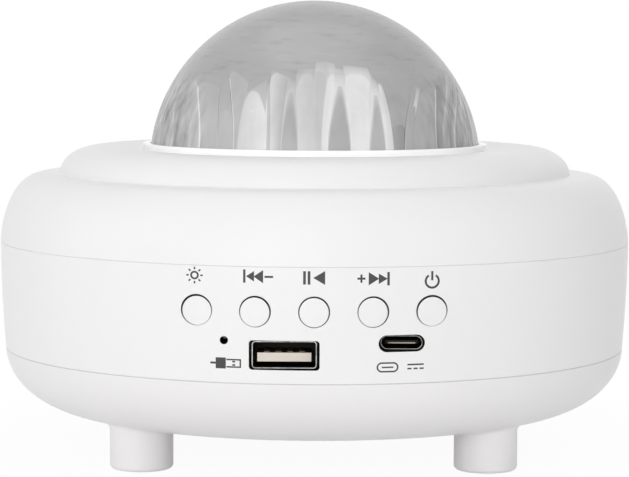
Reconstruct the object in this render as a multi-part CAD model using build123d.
from build123d import *
import os
from math import acos, cos, pi, radians, sin, sqrt, tan

# A round star projector with a light dome on top, a speaker in its base and its controls in front.
# Millimetres; height 0 is where the foot pads stand, the front faces -Y, the dome's axis is Z.

# ---------------------------------------------------------------- driving dimensions: housing
body_radius = 72.0          # the widest circle
wide_height = 46.0          # where that circle lies
wall = 2.2                  # thickness of the three shells
base_height = 8.9           # flat underside above the table
base_round_width = 18.7     # the oval round under the lower seam: across
base_round_over = 0.4       # its centre lies this much above the lower seam
lower_seam = 23.2           # joint of bottom shell and band
lower_seam_inset = 1.1      # from the widest circle in to that joint
upper_seam_rise = 1.4       # joint of band and top cover, above the widest circle
band_bulge = 0.22           # how far the band's wall swells out of a straight line
shoulder_height = 62.55     # the narrow ledge round the plateau
shoulder_width = 13.5       # from the widest circle in to the plateau's foot
shoulder_round = 9.0        # the oval round outside the ledge
plateau_rise = 6.2          # plateau above the ledge
plateau_round = 8.5         # the plateau's own oval edge
plateau_dish = 0.5          # how far the plateau sinks towards the collar
lip_thickness = 1.2         # the band's lips stand inside both neighbours
lip_height = 1.9
lip_gap = 0.25
lip_root = 2.5              # height of the thick root that carries a lip
overshoot = 1.0             # how far a cutting shape stands past what it cuts

# ---------------------------------------------------------------- driving dimensions: feet, case screws
foot_inset = 19.0           # from the widest circle in to the feet and columns
foot_radius = 6.9
foot_edge = 1.0
foot_pad_radius = 4.6
foot_pad_thickness = 1.1
foot_rim_lift = 0.2         # the leg's rim stays off the table, so the pad carries
pad_gap = 0.15
screw_recess_radius = 3.4
screw_seat_lift = 0.8       # seat of the screw heads inside the legs, above the flat underside
case_screw_radius = 1.45
case_screw_length = 17.0
case_head_radius = 2.8
case_head_height = 1.7
column_radius = 3.6
column_seat_lift = 2.9      # seat of the columns above that of the screw heads
socket_wall = 1.1
socket_height = 3.0
screw_gap = 0.05            # between a screw's shank and its pilot hole
through_gap = 0.3           # between a screw's shank and a plain hole
rib_thickness = 1.6
rib_lift = 4.6              # foot of the ribs above the upper seam

# ---------------------------------------------------------------- driving dimensions: dome, light engine
dome_radius = 38.0
dome_sink = 4.55            # centre of the dome's sphere below the plateau
dome_wall = 1.8
dome_flange_width = 3.6
dome_flange_thickness = 1.6
dome_flange_gap = 0.05
reed_count = 30
reed_depth = 0.9            # cusp to crest of the reeds moulded inside the dome's foot
reed_lean = 16.0            # degrees that their sleeve leans in, until it runs out on the dome's inner face
reed_inset = 0.3            # cusps of the reeds inside the dome's inner face, at its foot
collar_border = 1.5         # how far the collar reaches past the dome's sphere
collar_height = 1.35        # how far the collar stands on the plateau
collar_wall = 0.8
collar_edge = 0.35          # chamfer on the collar's outer top edge
collar_gap = 0.15
collar_lip = 1.9            # how far the collar's spigot hangs in the cover's opening
retainer_thickness = 1.8
retainer_border = 1.9
retainer_bore_gap = 0.8     # from the dome's inner face out to the retainer's bore
retainer_screw_inset = 3.3  # from the dome's flange out to the retainer's screws
small_boss_radius = 2.9
small_screw_radius = 1.1
small_head_radius = 2.0
small_head_height = 1.4
deck_drop = 20.75           # underside of the light deck below the plateau
deck_thickness = 2.0
deck_radius = 42.0
deck_arm_width = 13.0
retainer_room = 0.5         # from the retainer out to the deck's posts, and round it in the cover
deck_post_radius = 3.2
deck_screw_bite = 6.0       # depth of the pilot holes in the deck's posts
spindle_radius = 5.0
spindle_collar_reach = 2.2  # past the spindle
spindle_collar_height = 2.0
clip_thickness = 0.5
clip_reach = 1.5            # past the spindle
clip_groove = 0.6
clip_gap = 0.05
clip_opening = 2.4
laser_radius = 3.0
laser_length = 11.0
laser_flange_radius = 4.6
laser_flange_length = 3.4
laser_gap = 0.1
laser_aperture_radius = 1.5
laser_aperture_depth = 1.0
led_board_inner = 25.5
led_board_outer = 35.5
led_board_thickness = 1.2
led_count = 8
led_size = 5.0
led_height = 1.6
led_rim = 0.5
led_well_depth = 0.4
led_screw_count = 4

# ---------------------------------------------------------------- driving dimensions: rotor and its drive
gear_module = 0.6
pressure_angle = 20.0
tooth_addendum = 0.9        # tooth outside the pitch circle, in modules
tooth_dedendum = 1.2        # and inside it
rotor_teeth = 48
pinion_teeth = 16
gear_backlash = 0.12
gear_centre_gap = 0.05
gear_thickness = 3.0
gear_lift = 1.3             # underside of the toothed wheel above the hub's foot
pinion_overhang = 0.3
rotor_running_gap = 0.05
rotor_float = 0.1           # play of the hub between the spindle's collar and the clip
hub_height = 6.1
hub_wall = 2.4
lens_radius = 33.5
lens_thickness = 2.0
lens_lift = 5.2             # underside of the rippled disc above the hub's foot
ripple_count = 16
ripple_radius = 4.0
ripple_depth = 0.7
ripple_start = 15.0
window_ring_height = 1.7
window_ring_wall = 1.6
grating_thickness = 1.0
grating_border = 0.2
motor_radius = 12.0
motor_length = 13.2
motor_edge = 1.0
motor_offset = 5.0          # the output shaft stands off the can's centre
motor_plate = 0.8
motor_ear_reach = 16.0
motor_ear_width = 6.4
motor_shaft_radius = 1.5
motor_shaft_depth = 3.0
motor_shaft_proud = 0.3     # above the pinion
motor_shaft_end_gap = 0.3   # under the shaft, inside the can
pinion_hub_radius = 2.9
pinion_hub_height = 1.4
shaft_running_gap = 0.05
shaft_seat_gap = 0.01

# ---------------------------------------------------------------- driving dimensions: speaker
speaker_radius = 22.4
speaker_flange = 1.0
gasket_thickness = 1.0
gasket_width = 3.4
basket_height = 9.0
basket_wall = 0.8
basket_top_radius = 13.0
basket_skirt = 2.4
basket_windows = 6
basket_window_width = 8.0
basket_window_foot = 1.0    # frame left under each window
basket_window_head = 2.0    # and over it
magnet_radius = 14.5
magnet_height = 6.0
magnet_plate = 1.2
magnet_lip = 1.0            # how far the ferrite stands out past its steel plates
pole_radius = 9.0
nest_gap = 0.3
nest_wall = 1.6
speaker_boss_reach = 2.8
speaker_head_radius = 3.4
cone_thickness = 0.5
cone_height = 6.0
cone_neck_radius = 6.5
cone_neck_gap = 1.5         # from the cone's neck up to the magnet's plate
surround_width = 2.6
surround_gap = 0.1
surround_height = 1.1
cap_rise = 1.8
grille_slots = 9
grille_pitch = 4.0
grille_slot_width = 2.0
grille_radius = 17.5         # the slots end on this circle

# ---------------------------------------------------------------- driving dimensions: controls and board
board_setback = 14.2        # from the widest circle in to the board's front face
board_thickness = 1.6
board_width = 64.0
board_lift = 1.8            # lower edge above the lower seam
board_drop = 0.8            # upper edge below the upper seam
board_screw_side = 3.4      # the board's screws stand in from its sides,
board_screw_lift = 3.0      # up from its lower edge
board_screw_drop = 2.6      # and down from its upper edge
board_boss_radius = 2.5
button_drop = 9.2           # middle of the keys below the upper seam
button_pitch = 12.1
button_radius = 3.05
button_gap = 0.2
button_proud = 0.05
button_edge = 0.3
button_travel = 0.3
button_flange_radius = 3.8
button_flange_thickness = 0.8
button_flange_gap = 0.3
button_stem_radius = 1.6
switch_size = 6.0
switch_depth = 3.4
plunger_radius = 1.75
plunger_length = 1.3
plunger_gap = 0.1
plunger_hidden = 0.9        # how much of a plunger stands inside its switch at rest
microphone_x = -18.5
microphone_lift = 8.9       # its middle, and those of the sockets, above the lower seam
microphone_hole_radius = 0.85
microphone_radius = 2.0
microphone_depth = 1.5
microphone_boot_wall = 0.9
microphone_boot_gap = 0.1
usb_a_x = -6.1
usb_a_lift = 6.0
usb_a_slot_width = 14.5
usb_a_slot_height = 6.1
usb_a_slot_corner = 0.7
usb_a_width = 13.3
usb_a_tall = 5.6
usb_a_sheet = 0.3
usb_a_recess = 0.5          # mouth behind the wall at its nearer corner
usb_a_tongue_width = 11.1
usb_a_tongue_thickness = 1.84
usb_a_tongue_drop = 0.57
usb_a_tongue_recess = 1.0
usb_a_block_depth = 3.2
usb_a_contact_width = 1.2
usb_a_contact_pitch = 2.4
usb_a_contact_count = 4
usb_a_contact_inset = 0.8   # behind the tongue's edge
usb_a_contact_thickness = 0.2
usb_c_x = 18.0
usb_c_lift = 8.4
usb_c_slot_width = 9.55
usb_c_slot_height = 3.5
usb_c_width = 8.94
usb_c_tall = 3.16
usb_c_sheet = 0.3
usb_c_recess = 0.5
usb_c_tongue_width = 6.7
usb_c_tongue_thickness = 0.7
usb_c_tongue_recess = 1.0
usb_c_block_depth = 3.0
plug_clearance = 0.05       # between a socket's insulator and its metal sheet
chip_height = 2.2
sound_chip_size = (15.0, 12.0)      # across and up
sound_chip_place = (-18.5, 12.0)    # middle, across and up from the board's lower edge
amplifier_height = 1.6
amplifier_size = (6.0, 5.0)
amplifier_place = (-3.0, 10.5)
capacitor_radius = 3.15
capacitor_length = 7.0
capacitor_xs = (6.5, 14.0)
capacitor_lift = 7.5
cable_socket_size = (6.0, 5.0)
cable_socket_height = 4.5
cable_socket_wall = 0.7
cable_socket_floor = 1.2
cable_socket_count = 4
cable_socket_pitch = 8.0
cable_socket_x = 7.0        # middle of the row
cable_socket_drop = 4.6     # below the board's upper edge

# ---------------------------------------------------------------- places worked out from those sizes
lower_seam_radius = body_radius - lower_seam_inset
base_round_height = lower_seam + base_round_over - base_height
upper_seam = wide_height + upper_seam_rise
plateau_radius = body_radius - shoulder_width
plateau_height = shoulder_height + plateau_rise
screw_seat = base_height + screw_seat_lift
column_seat = screw_seat + column_seat_lift
rib_bottom = upper_seam + rib_lift
dome_centre = plateau_height - dome_sink
collar_outer_radius = dome_radius + collar_border
foot_circle = body_radius - foot_inset
corner_angles = (45, 135, 225, 315)
square_angles = (0, 90, 180, 270)
floor = base_height + wall
dome_hole_radius = dome_radius + collar_gap + collar_wall + collar_gap
plateau_seat = plateau_height - plateau_dish
ceiling = plateau_seat - wall
flange_top = ceiling - dome_flange_gap
flange_bottom = flange_top - dome_flange_thickness
flange_radius = dome_radius + dome_flange_width
retainer_bottom = flange_bottom - retainer_thickness
retainer_circle = flange_radius + retainer_screw_inset
deck_height = plateau_height - deck_drop
deck_top = deck_height + deck_thickness
retainer_radius = retainer_circle + retainer_border
deck_post_circle = retainer_radius + retainer_room + deck_post_radius
spindle_collar_radius = spindle_radius + spindle_collar_reach
clip_radius = spindle_radius + clip_reach
gear_centre = gear_module * (rotor_teeth + pinion_teeth) / 2 + gear_centre_gap
hub_bottom = deck_top + spindle_collar_height + rotor_float
hub_top = hub_bottom + hub_height
hub_bore = spindle_radius + rotor_running_gap
gear_bottom = hub_bottom + gear_lift
gear_top = gear_bottom + gear_thickness
lens_bottom = hub_bottom + lens_lift
lens_top = lens_bottom + lens_thickness
clip_bottom = hub_top + rotor_float
spindle_top = clip_bottom + clip_thickness + clip_groove
speaker_seat = floor + gasket_thickness
speaker_top = speaker_seat + speaker_flange
basket_top = speaker_top + basket_height
speaker_screw_circle = speaker_radius + speaker_boss_reach
board_front = -(body_radius - board_setback)
board_back = board_front + board_thickness
board_bottom = lower_seam + board_lift
board_top = upper_seam - board_drop
board_screw_span = board_width - 2 * board_screw_side
board_screw_low = board_bottom + board_screw_lift
board_screw_high = board_top - board_screw_drop
button_height = upper_seam - button_drop
microphone_height = lower_seam + microphone_lift
usb_a_height = lower_seam + usb_a_lift
usb_c_height = lower_seam + usb_c_lift
capacitor_level = board_bottom + capacitor_lift
cable_socket_level = board_top - cable_socket_drop
switch_front = board_front - switch_depth
plunger_tip = switch_front - plunger_length
clear_front = -(body_radius + overshoot)
button_names = ("lamp", "previous", "play", "next", "power")
button_xs = [button_pitch * (i - 2) for i in range(len(button_names))]


# ---------------------------------------------------------------- plain helpers
def disc(radius, low, high, x=0.0, y=0.0):
    """Upright cylinder between two heights."""
    return Pos(x, y, low) * Cylinder(radius, high - low, align=(Align.CENTER, Align.CENTER, Align.MIN))


def ring(inner, outer, low, high):
    return disc(outer, low, high) - disc(inner, low, high)


def rod(radius, front, back, x, z):
    """Cylinder along Y from its front face to its back face."""
    return Pos(x, back, z) * Rot(90, 0, 0) * Cylinder(
        radius, back - front, align=(Align.CENTER, Align.CENTER, Align.MIN))


def block(low, high):
    """Box between two corners."""
    size = [b - a for a, b in zip(low, high)]
    return Pos(*low) * Box(*size, align=(Align.MIN, Align.MIN, Align.MIN))


def slab(outline, front, back, x, z):
    """A flat outline in X and Z, drawn out along Y from its front to its back."""
    return extrude(Plane((x, back, z), x_dir=(1, 0, 0), z_dir=(0, -1, 0)) * outline, back - front)


def turned(outline):
    """Solid turned about Z from a closed outline of (radius, height)."""
    return revolve(Plane.XZ * make_face(outline), Axis.Z)


def turned_points(*points):
    return turned(Polyline(*points, close=True))


def around(radius, angles):
    """Places on a circle about Z."""
    return [(radius * cos(radians(a)), radius * sin(radians(a))) for a in angles]


def row_places(middle, count, pitch):
    """Evenly spaced places about a middle."""
    return [middle + pitch * (i - (count - 1) / 2) for i in range(count)]


def mirrored_places(xs, zs):
    return [(x, z) for x in xs for z in zs]


def screw(x, y, seat, length, shank, head_radius, head_height, up=True):
    """Screw with a pan head; up is the way its shank points."""
    if up:
        return disc(head_radius, seat - head_height, seat, x, y) + disc(shank, seat, seat + length, x, y)
    return disc(head_radius, seat, seat + head_height, x, y) + disc(shank, seat - length, seat, x, y)


# ---------------------------------------------------------------- housing forms
def base_body(inset):
    """The bottom shell's form, or that form pulled in by a wall."""
    centre = (lower_round_centre(), base_height + base_round_height)
    across, up = base_round_width - inset, base_round_height - inset
    arc = EllipticalCenterArc(centre, across, up, start_angle=-90, arc_size=90)
    low = Line((0, base_height + inset), arc @ 0)
    top = Polyline(arc @ 1, (0, centre[1]), (0, base_height + inset))
    return turned([low, arc, top])


def lower_round_centre():
    """Radius of the centre of the oval round, so that it meets the band at the lower seam."""
    drop = (base_height + base_round_height - lower_seam) / base_round_height
    return lower_seam_radius - base_round_width * sqrt(1 - drop * drop)


def base_radius(height, inset):
    """Radius of base_body at a height."""
    centre = base_height + base_round_height
    drop = (centre - height) / (base_round_height - inset)
    return lower_round_centre() + (base_round_width - inset) * sqrt(1 - drop * drop)


def shoulder_body(inset):
    centre = (body_radius - shoulder_round, wide_height)
    arc = EllipticalCenterArc(
        centre, shoulder_round - inset, shoulder_height - wide_height - inset, start_angle=0, arc_size=90)
    low = Line((0, wide_height), arc @ 0)
    top = Polyline(arc @ 1, (0, shoulder_height - inset), (0, wide_height))
    return turned([low, arc, top])


def plateau_body(inset):
    centre = (plateau_radius - plateau_round, shoulder_height)
    arc = EllipticalCenterArc(
        centre, plateau_round - inset, plateau_height - shoulder_height - inset, start_angle=0, arc_size=90)
    low = Polyline((0, wide_height), (plateau_radius - inset, wide_height), arc @ 0)
    flat = plateau_seat - inset
    top = Polyline(arc @ 1, (collar_outer_radius, flat), (0, flat), (0, wide_height))
    return turned([low, arc, top])


def cover_body(inset):
    return shoulder_body(inset) + plateau_body(inset)


def shoulder_radius(height, inset):
    """Radius of shoulder_body at a height."""
    rise = (height - wide_height) / (shoulder_height - wide_height - inset)
    return body_radius - shoulder_round + (shoulder_round - inset) * sqrt(1 - rise * rise)


def band_radius(height, inset=0.0):
    """Radius of the band's outer wall: a straight taper with a slight swelling."""
    along = (height - lower_seam) / (upper_seam - lower_seam)
    straight = lower_seam_radius + (shoulder_radius(upper_seam, 0) - lower_seam_radius) * along
    return straight + 4 * band_bulge * along * (1 - along) - inset


def band_body(inset):
    """The whole round of the band, out to its wall or pulled in from it."""
    middle = (lower_seam + upper_seam) / 2
    arc = ThreePointArc(
        (band_radius(lower_seam, inset), lower_seam),
        (band_radius(middle, inset), middle),
        (band_radius(upper_seam, inset), upper_seam))
    rest = Polyline(arc @ 1, (0, upper_seam), (0, lower_seam), arc @ 0)
    return turned([arc, rest])


def wall_front(x, height, inset=0.0):
    """Y of the band's front wall at a place across and up."""
    return -sqrt(band_radius(height, inset) ** 2 - x * x)


# ---------------------------------------------------------------- housing shells
def make_bottom_shell():
    shell = base_body(0) - base_body(wall)
    shell = shell & disc(body_radius, 0, lower_seam)
    for x, y in around(foot_circle, corner_angles):
        leg = disc(foot_radius, foot_rim_lift, column_seat, x, y)
        leg = fillet(leg.edges().group_by(Axis.Z)[0], foot_edge)
        collar = disc(column_radius + pad_gap + socket_wall, column_seat, column_seat + socket_height, x, y)
        shell += leg + collar
        shell -= disc(column_radius + pad_gap, column_seat, column_seat + socket_height, x, y)
        shell -= disc(foot_pad_radius + pad_gap, 0, foot_pad_thickness, x, y)
        shell -= disc(screw_recess_radius, 0, screw_seat, x, y)
        shell -= disc(case_screw_radius + through_gap, screw_seat, column_seat, x, y)
    nest = speaker_radius + nest_gap
    shell += ring(nest, nest + nest_wall, floor - wall / 2, speaker_top)
    for x, y in around(speaker_screw_circle, square_angles):
        boss = disc(small_boss_radius, floor - wall / 2, speaker_top, x, y)
        shell += boss - disc(nest, 0, upper_seam)
        shell -= disc(small_screw_radius + screw_gap, floor, speaker_top, x, y)
    return shell - grille_slots_cut()


def grille_slots_cut():
    """Straight slots with round ends under the speaker, as long as their circle allows."""
    cuts = []
    for x in row_places(0, grille_slots, grille_pitch):
        length = 2 * sqrt(grille_radius ** 2 - x * x)
        slot = Pos(x, 0) * Rot(0, 0, 90) * SlotOverall(length, grille_slot_width)
        cuts.append(Pos(0, 0, base_height - overshoot) * extrude(slot, wall + 2 * overshoot))
    return cuts


def make_middle_band():
    """Ring with a lip at each seam, the boss for every board screw and the holes of the controls."""
    band = band_body(0) - band_body(wall)
    upper_root = shoulder_radius(upper_seam + lip_height, wall) - lip_gap - lip_thickness
    band += ring(upper_root, band_radius(upper_seam, wall / 2), upper_seam - lip_root, upper_seam)
    band += ring(upper_root, upper_root + lip_thickness, upper_seam - lip_root, upper_seam + lip_height)
    lower_root = base_radius(lower_seam - lip_height, wall) - lip_gap - lip_thickness
    band += ring(lower_root, band_radius(lower_seam, wall / 2), lower_seam, lower_seam + lip_root)
    band += ring(lower_root, lower_root + lip_thickness, lower_seam - lip_height, lower_seam + lip_root)
    for x, z in board_screw_places():
        boss = rod(board_boss_radius, -body_radius, board_front, x, z)
        band += boss & band_body(wall / 2)
        band -= rod(small_screw_radius + screw_gap, board_front - board_screw_bite(), board_front, x, z)
    for x in button_xs:
        band -= rod(button_radius + button_gap, clear_front, board_front, x, button_height)
    band -= rod(microphone_hole_radius, clear_front, board_front, microphone_x, microphone_height)
    band -= slab(usb_a_outline(usb_a_slot_width, usb_a_slot_height, usb_a_slot_corner),
                 clear_front, board_front, usb_a_x, usb_a_height)
    band -= slab(SlotOverall(usb_c_slot_width, usb_c_slot_height),
                 clear_front, board_front, usb_c_x, usb_c_height)
    return band


def board_screw_places():
    return mirrored_places((-board_screw_span / 2, board_screw_span / 2), (board_screw_low, board_screw_high))


def board_screw_bite():
    """How deep a board screw goes into its boss, short of the outer wall."""
    return board_front - wall_front(board_screw_span / 2, board_screw_low, 2 * wall)


def usb_a_outline(width, height, corner):
    return RectangleRounded(width, height, corner)


def make_top_cover():
    """Stepped cover with the dome's opening, four long screw columns, the deck's posts and ribs."""
    cover = cover_body(0) - cover_body(wall)
    inside = cover_body(wall / 2)
    for x, y in around(foot_circle, corner_angles):
        cover += disc(column_radius, wide_height, plateau_height, x, y) & inside
    for angle in corner_angles:
        half = rib_thickness / 2
        rib = block((foot_circle, -half, rib_bottom), (body_radius, half, plateau_height))
        cover += Rot(0, 0, angle) * (rib & inside)
    for x, y in around(deck_post_circle, square_angles):
        cover += disc(deck_post_radius, shoulder_height, plateau_height, x, y) & inside
    for x, y in around(retainer_circle, corner_angles):
        cover += disc(small_boss_radius, flange_bottom, plateau_height, x, y) & inside
    cover &= disc(body_radius, upper_seam, plateau_height)
    for x, y in around(foot_circle, corner_angles):
        cover += disc(column_radius, column_seat, upper_seam, x, y)
        cover -= disc(case_screw_radius + screw_gap, column_seat, column_seat + case_screw_length, x, y)
    for x, y in around(deck_post_circle, square_angles):
        cover += disc(deck_post_radius, deck_top, shoulder_height, x, y)
        cover -= disc(small_screw_radius + screw_gap, deck_top, deck_top + deck_screw_bite, x, y)
    for x, y in around(retainer_circle, corner_angles):
        bite = retainer_screw_bite()
        cover -= disc(small_screw_radius + screw_gap, flange_bottom, flange_bottom + bite, x, y)
    heads = retainer_bottom - small_head_height - through_gap
    cover -= disc(retainer_radius + retainer_room, heads, flange_bottom)
    return cover - disc(dome_hole_radius, shoulder_height, plateau_height)


def retainer_screw_bite():
    """Short of the plateau's face by half a wall."""
    return plateau_seat - wall / 2 - flange_bottom


def make_dome_collar():
    """Bright ring on the plateau; its spigot fills the gap between the dome and the cover's opening."""
    top = plateau_seat + collar_height
    low = plateau_seat - collar_lip
    bore_low = dome_radius + collar_gap
    bore_top = sqrt(dome_radius ** 2 - (top - dome_centre) ** 2) + collar_gap
    return turned_points(
        (bore_low, low), (bore_low + collar_wall, low), (bore_low + collar_wall, plateau_seat),
        (collar_outer_radius, plateau_seat), (collar_outer_radius, top - collar_edge),
        (collar_outer_radius - collar_edge, top), (bore_top, top))


def make_dome():
    """Thin spherical cap with a flat flange; a sleeve of reeds that break up the light is moulded inside."""
    outside = Pos(0, 0, dome_centre) * Sphere(dome_radius)
    outside = outside & disc(dome_radius, flange_top, dome_centre + dome_radius)
    outside += disc(flange_radius, flange_bottom, flange_top)
    hollow = Pos(0, 0, dome_centre) * Sphere(dome_radius - dome_wall)
    reeded = loft([reed_outline(flange_bottom - overshoot), reed_outline(dome_centre + dome_radius)], ruled=True)
    return outside - (hollow & reeded)


def reed_outline(height):
    """Ring of arcs that bulge inwards, one for each reed; the sleeve's lean narrows it with the height."""
    cusp = dome_radius - dome_wall - reed_inset - (height - flange_bottom) * tan(radians(reed_lean))
    crest = cusp - reed_depth
    half = pi / reed_count
    arcs = []
    for i in range(reed_count):
        centre = 2 * half * i
        ends = [(cusp * cos(centre + s * half), cusp * sin(centre + s * half)) for s in (-1, 1)]
        arcs.append(ThreePointArc(ends[0], (crest * cos(centre), crest * sin(centre)), ends[1]))
    return Pos(0, 0, height) * make_face(arcs)


def make_dome_retainer():
    """Ring that clamps the dome's flange up against the cover."""
    bore = dome_radius - dome_wall + retainer_bore_gap
    retainer = ring(bore, retainer_radius, retainer_bottom, flange_bottom)
    for x, y in around(retainer_circle, corner_angles):
        retainer -= disc(small_screw_radius + through_gap, retainer_bottom, flange_bottom, x, y)
    return retainer


def make_foot_pads():
    return [disc(foot_pad_radius, 0, foot_pad_thickness, x, y) for x, y in around(foot_circle, corner_angles)]


def make_case_screws():
    length = case_screw_length - through_gap
    return [
        screw(x, y, screw_seat, length, case_screw_radius, case_head_radius, case_head_height)
        for x, y in around(foot_circle, corner_angles)]


def make_retainer_screws():
    length = retainer_thickness + retainer_screw_bite() - through_gap
    return [
        screw(x, y, retainer_bottom, length, small_screw_radius, small_head_radius, small_head_height)
        for x, y in around(retainer_circle, corner_angles)]


# ---------------------------------------------------------------- light deck and what it carries
def make_light_deck():
    """Cross-shaped plate hung from the cover, with the hollow spindle of the rotor in its middle."""
    deck = disc(deck_radius, deck_height, deck_top)
    reach = deck_post_circle + deck_post_radius
    for angle in (0, 90):
        arm = block((-reach, -deck_arm_width / 2, deck_height), (reach, deck_arm_width / 2, deck_top))
        deck += Rot(0, 0, angle) * arm
    deck += disc(spindle_collar_radius, deck_top, deck_top + spindle_collar_height)
    deck += disc(spindle_radius, deck_top, spindle_top)
    groove_top = clip_bottom + clip_thickness
    deck -= ring(spindle_radius - clip_groove, spindle_radius + overshoot, clip_bottom, groove_top)
    deck -= disc(laser_radius + laser_gap, deck_height, spindle_top)
    deck -= disc(pinion_hub_radius + through_gap, deck_height, deck_top, 0, gear_centre)
    for x, y in around(deck_post_circle, square_angles):
        deck -= disc(small_screw_radius + through_gap, deck_height, deck_top, x, y)
    for x, y in motor_screw_places():
        deck -= disc(small_screw_radius + screw_gap, deck_height, deck_top, x, y)
    for x, y in led_screw_places():
        deck -= disc(small_screw_radius + screw_gap, deck_height, deck_top, x, y)
    return deck


def make_deck_screws():
    length = deck_thickness + deck_screw_bite - through_gap
    return [
        screw(x, y, deck_height, length, small_screw_radius, small_head_radius, small_head_height)
        for x, y in around(deck_post_circle, square_angles)]


def led_screw_places():
    middle = (led_board_inner + led_board_outer) / 2
    turn = 360 / led_screw_count
    return around(middle, [turn * (i + 0.5) + 180 / led_count for i in range(led_screw_count)])


def make_led_board():
    board = ring(led_board_inner, led_board_outer, deck_top, deck_top + led_board_thickness)
    for x, y in led_screw_places():
        board -= disc(small_screw_radius + through_gap, deck_top, deck_top + led_board_thickness, x, y)
    return board


def make_leds():
    """Square lamp packages with a shallow round well on top."""
    middle = (led_board_inner + led_board_outer) / 2
    low = deck_top + led_board_thickness
    lamps = []
    for i in range(led_count):
        half = led_size / 2
        lamp = block((middle - half, -half, low), (middle + half, half, low + led_height))
        lamp -= disc(half - led_rim, low + led_height - led_well_depth, low + led_height, middle, 0)
        lamps.append(Rot(0, 0, 360 * i / led_count) * lamp)
    return lamps


def make_led_board_screws():
    length = led_board_thickness + deck_thickness
    seat = deck_top + led_board_thickness
    return [
        screw(x, y, seat, length, small_screw_radius, small_head_radius, small_head_height, up=False)
        for x, y in led_screw_places()]


def make_laser_module():
    """Brass barrel pushed up into the spindle from below, with its flange under the deck."""
    tip = deck_height + laser_length
    barrel = disc(laser_radius, deck_height, tip)
    flange = disc(laser_flange_radius, deck_height - laser_flange_length, deck_height)
    aperture = disc(laser_aperture_radius, tip - laser_aperture_depth, tip)
    return barrel + flange - aperture


def make_rotor_clip():
    """Open retaining ring in the spindle's groove."""
    inner = spindle_radius - clip_groove + clip_gap
    half = clip_opening / 2
    clip_top = clip_bottom + clip_thickness
    clip = ring(inner, clip_radius, clip_bottom, clip_top)
    return clip - block((-half, 0, clip_bottom), (half, clip_radius + overshoot, clip_top))


def make_gear_motor():
    """Flat geared can under the deck; its shaft stands off centre."""
    y = gear_centre + motor_offset
    top = deck_height - motor_plate
    can = disc(motor_radius, top - motor_length, top, 0, y)
    can = fillet(can.edges().group_by(Axis.Z)[0], motor_edge)
    bore_bottom = top - motor_shaft_depth - motor_shaft_end_gap
    return can - disc(motor_shaft_radius + shaft_running_gap, bore_bottom, top, 0, gear_centre)


def motor_screw_places():
    y = gear_centre + motor_offset
    return [(-motor_ear_reach, y), (motor_ear_reach, y)]


def make_motor_plate():
    """Steel plate with two ears, crimped on the motor's can."""
    y = gear_centre + motor_offset
    low, high = deck_height - motor_plate, deck_height
    plate = disc(motor_radius, low, high, 0, y)
    half = motor_ear_width / 2
    plate += block((-motor_ear_reach, y - half, low), (motor_ear_reach, y + half, high))
    for x, ear_y in motor_screw_places():
        plate += disc(half, low, high, x, ear_y)
        plate -= disc(small_screw_radius + through_gap, low, high, x, ear_y)
    return plate - disc(motor_shaft_radius + shaft_running_gap, low, high, 0, gear_centre)


def make_motor_screws():
    length = motor_plate + deck_thickness
    return [
        screw(x, y, deck_height - motor_plate, length, small_screw_radius, small_head_radius, small_head_height)
        for x, y in motor_screw_places()]


# ---------------------------------------------------------------- gears
def involute(radius, base):
    """Turn of an involute from its base circle out to a radius."""
    roll = acos(min(1.0, base / radius))
    return tan(roll) - roll


def gear_outline(teeth, turn):
    """Closed outline of a spur gear: each flank follows the involute of its base circle."""
    pitch = gear_module * teeth / 2
    base = pitch * cos(radians(pressure_angle))
    tip = pitch + tooth_addendum * gear_module
    root = pitch - tooth_dedendum * gear_module
    pitch_half = pi / (2 * teeth) - gear_backlash / (2 * pitch)
    start = max(base, root)
    radii = sorted({root, *(start + (tip - start) * step / 3 for step in range(4))})
    flank = [(r, pitch_half + involute(pitch, base) - involute(max(r, start), base)) for r in radii]
    points = []
    for tooth in range(teeth):
        centre = 2 * pi * tooth / teeth + turn
        sides = [(r, centre - half) for r, half in flank]
        sides += [(r, centre + half) for r, half in reversed(flank)]
        points += [(r * cos(angle), r * sin(angle)) for r, angle in sides]
    return make_face(Polyline(*points, close=True))


def make_ripple_rotor():
    """Clear rotor: hub, toothed wheel and a disc with radial ripples that bend the light."""
    gear = Pos(0, 0, gear_bottom) * extrude(gear_outline(rotor_teeth, 0), gear_thickness)
    rotor = gear + disc(hub_bore + hub_wall, hub_bottom, lens_top)
    rotor += disc(lens_radius, lens_bottom, lens_top)
    rotor += disc(window_ring_radius(), lens_bottom, lens_top + window_ring_height)
    for i in range(ripple_count):
        cut = Cylinder(ripple_radius, lens_radius, align=(Align.CENTER, Align.CENTER, Align.MIN))
        place = Pos(ripple_start, 0, lens_top + ripple_radius - ripple_depth) * Rot(0, 90, 0)
        rotor -= Rot(0, 0, 360 * (i + 0.5) / ripple_count) * place * cut
    rotor -= disc(hub_bore, hub_bottom, hub_top)
    return rotor - disc(clip_radius + through_gap, hub_top, lens_top + window_ring_height)


def window_ring_radius():
    return clip_radius + through_gap + window_ring_wall


def make_star_grating():
    low = lens_top + window_ring_height
    return disc(window_ring_radius() - grating_border, low, low + grating_thickness)


def make_drive_pinion():
    low = gear_bottom - pinion_overhang
    high = gear_top + pinion_overhang
    turn = -pi / 2 + pi / pinion_teeth
    teeth = Pos(0, gear_centre, low) * extrude(gear_outline(pinion_teeth, turn), high - low)
    pinion = teeth + disc(pinion_hub_radius, low - pinion_hub_height, low, 0, gear_centre)
    return pinion - disc(motor_shaft_radius + shaft_seat_gap, low - pinion_hub_height, high, 0, gear_centre)


def make_motor_shaft():
    low = deck_height - motor_plate - motor_shaft_depth
    return disc(motor_shaft_radius, low, gear_top + pinion_overhang + motor_shaft_proud, 0, gear_centre)


# ---------------------------------------------------------------- speaker
def make_speaker_gasket():
    return ring(speaker_radius - gasket_width, speaker_radius, floor, speaker_seat)


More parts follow.
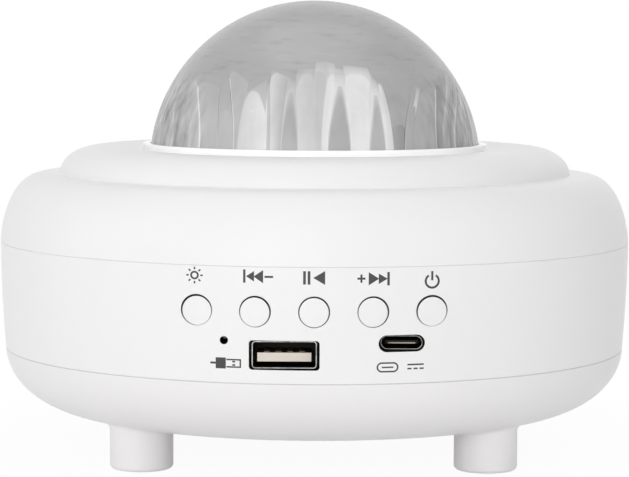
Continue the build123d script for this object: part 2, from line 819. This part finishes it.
def make_speaker_basket():
    """Pressed frame: flat flange, sloping wall with windows and the plate that holds the magnet."""
    inner = speaker_radius - gasket_width
    skirt_top = speaker_seat + basket_skirt
    basket = turned_points(
        (inner, speaker_seat), (speaker_radius, speaker_seat), (speaker_radius, speaker_top),
        (inner + basket_wall, speaker_top), (inner + basket_wall, skirt_top),
        (basket_top_radius + basket_wall, basket_top), (pole_radius, basket_top),
        (pole_radius, basket_top - basket_wall), (basket_top_radius, basket_top - basket_wall),
        (inner, skirt_top))
    half = basket_window_width / 2
    low, high = skirt_top + basket_window_foot, basket_top - basket_window_head
    for i in range(basket_windows):
        window = block((basket_top_radius - overshoot, -half, low), (speaker_radius, half, high))
        basket -= Rot(0, 0, 360 * (i + 0.5) / basket_windows) * window
    return basket


def make_speaker_magnet():
    """Ring magnet between its two steel plates, with the pole through its middle."""
    front = basket_top + magnet_plate
    back = front + magnet_height
    ferrite = disc(magnet_radius, front, back)
    plates = disc(magnet_radius - magnet_lip, basket_top, back + magnet_plate)
    return ferrite + plates


def make_speaker_cone():
    """Paper cone from its neck down to the surround."""
    wide = speaker_radius - gasket_width - surround_gap - surround_width
    low, high = speaker_seat + cone_thickness, speaker_seat + cone_thickness + cone_height
    neck_top = basket_top - cone_neck_gap
    return turned_points(
        (wide - cone_thickness, low), (wide, low), (cone_neck_radius + cone_thickness, high),
        (cone_neck_radius + cone_thickness, neck_top), (cone_neck_radius, neck_top),
        (cone_neck_radius, high))


def make_speaker_surround():
    """Half-roll of rubber that hangs the cone in its frame."""
    outer = speaker_radius - gasket_width - surround_gap
    inner = outer - surround_width
    middle = (inner + outer) / 2
    low = speaker_seat + cone_thickness
    roll = ThreePointArc((inner, low), (middle, low + surround_height), (outer, low))
    under = low - cone_thickness
    back = ThreePointArc((outer, under), (middle, under + surround_height), (inner, under))
    return turned([roll, Line(roll @ 1, back @ 0), back, Line(back @ 1, roll @ 0)])


def make_dust_cap():
    """Shallow spherical dome glued on the cone's neck."""
    low = speaker_seat + cone_thickness + cone_height
    bulge = (cone_neck_radius ** 2 + cap_rise ** 2) / (2 * cap_rise)
    centre = Pos(0, 0, low - cap_rise + bulge)
    skin = centre * Sphere(bulge) - centre * Sphere(bulge - cone_thickness)
    return skin & disc(cone_neck_radius, low - cap_rise, low)


def make_speaker_screws():
    length = speaker_top - floor - through_gap
    return [
        screw(x, y, speaker_top, length, small_screw_radius, speaker_head_radius, small_head_height, up=False)
        for x, y in around(speaker_screw_circle, square_angles)]


# ---------------------------------------------------------------- controls
def make_button(x):
    """Cap whose face follows the band, a flange that keeps it in and a stem down to its switch."""
    hidden = band_body(-button_proud)
    front = button_flange_front(x)
    cap = rod(button_radius, clear_front, front + button_flange_thickness / 2, x, button_height) & hidden
    face_edge = cap.edges().group_by(Axis.Y)[0]
    cap = fillet(face_edge, button_edge)
    cap += rod(button_flange_radius, front, front + button_flange_thickness, x, button_height)
    return cap + rod(button_stem_radius, front, plunger_tip, x, button_height)


def button_flange_front(x):
    """Behind the wall by its gap, where the flange comes nearest to it."""
    reach = abs(x) + button_flange_radius
    return wall_front(reach, button_height, wall) + button_flange_gap


def make_plunger(x):
    return rod(plunger_radius, plunger_tip, switch_front + plunger_hidden, x, button_height)


def make_switches():
    """One square key switch behind each cap, with the bore that its plunger travels in."""
    half = switch_size / 2
    switches = []
    for x in button_xs:
        low, high = button_height - half, button_height + half
        body = block((x - half, switch_front, low), (x + half, board_front, high))
        bore = plunger_hidden + button_travel + plunger_gap
        body -= rod(plunger_radius + plunger_gap, switch_front, switch_front + bore, x, button_height)
        switches.append(body)
    return switches


def make_control_board():
    board = block((-board_width / 2, board_front, board_bottom), (board_width / 2, board_back, board_top))
    for x, z in board_screw_places():
        board -= rod(small_screw_radius + through_gap, board_front, board_back, x, z)
    return board


def make_board_screws():
    screws = []
    for x, z in board_screw_places():
        head = rod(small_head_radius, board_back, board_back + small_head_height, x, z)
        shank = rod(small_screw_radius, board_front - board_screw_bite() + through_gap, board_back, x, z)
        screws.append(head + shank)
    return screws


def make_microphone():
    front = board_front - microphone_depth
    return rod(microphone_radius, front, board_front, microphone_x, microphone_height)


def make_microphone_boot():
    """Rubber tunnel from the capsule to the hole in the band."""
    outer = microphone_radius + microphone_boot_wall
    front = wall_front(abs(microphone_x) + outer, microphone_height, wall) + microphone_boot_gap
    boot = rod(outer, front, board_front, microphone_x, microphone_height)
    seat = board_front - microphone_depth
    boot -= rod(microphone_radius, seat, board_front, microphone_x, microphone_height)
    return boot - rod(microphone_hole_radius, front, board_front, microphone_x, microphone_height)


# ---------------------------------------------------------------- sockets
def usb_a_mouth():
    """Y of the socket's mouth, behind the wall at the corner where the wall falls away most."""
    return wall_front(abs(usb_a_x) + usb_a_width / 2, usb_a_height) + usb_a_recess


def make_usb_a_shell():
    outside = usb_a_outline(usb_a_width, usb_a_tall, usb_a_slot_corner)
    inside = usb_a_outline(usb_a_width - 2 * usb_a_sheet, usb_a_tall - 2 * usb_a_sheet,
                           usb_a_slot_corner - usb_a_sheet)
    return slab(outside - inside, usb_a_mouth(), board_front, usb_a_x, usb_a_height)


def make_usb_a_insulator():
    """Block at the back of the socket with the tongue that carries the contacts."""
    gap = 2 * (usb_a_sheet + plug_clearance)
    corner = usb_a_slot_corner - usb_a_sheet - plug_clearance
    back = usb_a_outline(usb_a_width - gap, usb_a_tall - gap, corner)
    body = slab(back, board_front - usb_a_block_depth, board_front, usb_a_x, usb_a_height)
    tongue = Rectangle(usb_a_tongue_width, usb_a_tongue_thickness)
    return body + slab(tongue, usb_a_mouth() + usb_a_tongue_recess, board_front - usb_a_block_depth / 2,
                       usb_a_x, usb_a_height - usb_a_tongue_drop)


def make_usb_a_contacts():
    """Four gold strips on the tongue's wide side."""
    low = usb_a_height - usb_a_tongue_drop + usb_a_tongue_thickness / 2
    front = usb_a_mouth() + usb_a_tongue_recess + usb_a_contact_inset
    back = board_front - usb_a_block_depth
    half = usb_a_contact_width / 2
    strips = []
    for x in row_places(usb_a_x, usb_a_contact_count, usb_a_contact_pitch):
        strips.append(block((x - half, front, low), (x + half, back, low + usb_a_contact_thickness)))
    return strips


def usb_c_mouth():
    return wall_front(abs(usb_c_x) + usb_c_width / 2, usb_c_height) + usb_c_recess


def make_usb_c_shell():
    ring_outline = SlotOverall(usb_c_width, usb_c_tall) - SlotOverall(
        usb_c_width - 2 * usb_c_sheet, usb_c_tall - 2 * usb_c_sheet)
    return slab(ring_outline, usb_c_mouth(), board_front, usb_c_x, usb_c_height)


def make_usb_c_tongue():
    gap = 2 * (usb_c_sheet + plug_clearance)
    body = slab(SlotOverall(usb_c_width - gap, usb_c_tall - gap), board_front - usb_c_block_depth, board_front,
                usb_c_x, usb_c_height)
    tongue = Rectangle(usb_c_tongue_width, usb_c_tongue_thickness)
    return body + slab(tongue, usb_c_mouth() + usb_c_tongue_recess, board_front - usb_c_block_depth / 2,
                       usb_c_x, usb_c_height)


# ---------------------------------------------------------------- parts on the back of the board
def on_board(place, size, height):
    """Box standing on the board's back, about its middle place."""
    (x, z), (width, tall) = place, size
    low = (x - width / 2, board_back, z - tall / 2)
    return block(low, (x + width / 2, board_back + height, z + tall / 2))


def make_sound_chip():
    x, lift = sound_chip_place
    return on_board((x, board_bottom + lift), sound_chip_size, chip_height)


def make_amplifier_chip():
    x, lift = amplifier_place
    return on_board((x, board_bottom + lift), amplifier_size, amplifier_height)


def make_capacitors():
    back = board_back + capacitor_length
    return [rod(capacitor_radius, board_back, back, x, capacitor_level) for x in capacitor_xs]


def make_cable_sockets():
    """Sockets, open at the back, for the leads of speaker, motor, lamps and laser."""
    well = [side - 2 * cable_socket_wall for side in cable_socket_size]
    sockets = []
    for x in row_places(cable_socket_x, cable_socket_count, cable_socket_pitch):
        body = on_board((x, cable_socket_level), cable_socket_size, cable_socket_height)
        hollow = on_board((x, cable_socket_level), well, cable_socket_height)
        sockets.append(body - Pos(0, cable_socket_floor, 0) * hollow)
    return sockets


# ---------------------------------------------------------------- every node and its file
def all_nodes():
    nodes = {
        "bottom_shell": make_bottom_shell(),
        "middle_band": make_middle_band(),
        "top_cover": make_top_cover(),
        "dome_collar": make_dome_collar(),
        "dome": make_dome(),
        "dome_retainer": make_dome_retainer(),
        "retainer_screws": make_retainer_screws(),
        "foot_pads": make_foot_pads(),
        "case_screws": make_case_screws(),
        "light_deck": make_light_deck(),
        "deck_screws": make_deck_screws(),
        "led_board": make_led_board(),
        "leds": make_leds(),
        "led_board_screws": make_led_board_screws(),
        "laser_module": make_laser_module(),
        "rotor_clip": make_rotor_clip(),
        "gear_motor": make_gear_motor(),
        "motor_plate": make_motor_plate(),
        "motor_screws": make_motor_screws(),
        "ripple_rotor": make_ripple_rotor(),
        "star_grating": make_star_grating(),
        "drive_pinion": make_drive_pinion(),
        "motor_shaft": make_motor_shaft(),
        "speaker_gasket": make_speaker_gasket(),
        "speaker_basket": make_speaker_basket(),
        "speaker_magnet": make_speaker_magnet(),
        "speaker_cone": make_speaker_cone(),
        "speaker_surround": make_speaker_surround(),
        "speaker_dust_cap": make_dust_cap(),
        "speaker_screws": make_speaker_screws(),
        "control_board": make_control_board(),
        "board_screws": make_board_screws(),
        "key_switches": make_switches(),
        "microphone": make_microphone(),
        "microphone_boot": make_microphone_boot(),
        "usb_a_shell": make_usb_a_shell(),
        "usb_a_insulator": make_usb_a_insulator(),
        "usb_a_contacts": make_usb_a_contacts(),
        "usb_c_shell": make_usb_c_shell(),
        "usb_c_tongue": make_usb_c_tongue(),
        "sound_chip": make_sound_chip(),
        "amplifier_chip": make_amplifier_chip(),
        "capacitors": make_capacitors(),
        "cable_sockets": make_cable_sockets(),
    }
    for name, x in zip(button_names, button_xs):
        nodes[name + "_button"] = make_button(x)
        nodes[name + "_plunger"] = make_plunger(x)
    return nodes


def write_node(name, shape):
    """One STEP file for a node, whether it is one solid or a group of separate ones."""
    if isinstance(shape, list):
        shape = Compound(children=[solid for item in shape for solid in item.solids()])
    export_step(shape, "parts/" + name + ".step")


os.makedirs("parts", exist_ok=True)
for node_name, node_shape in all_nodes().items():
    write_node(node_name, node_shape)
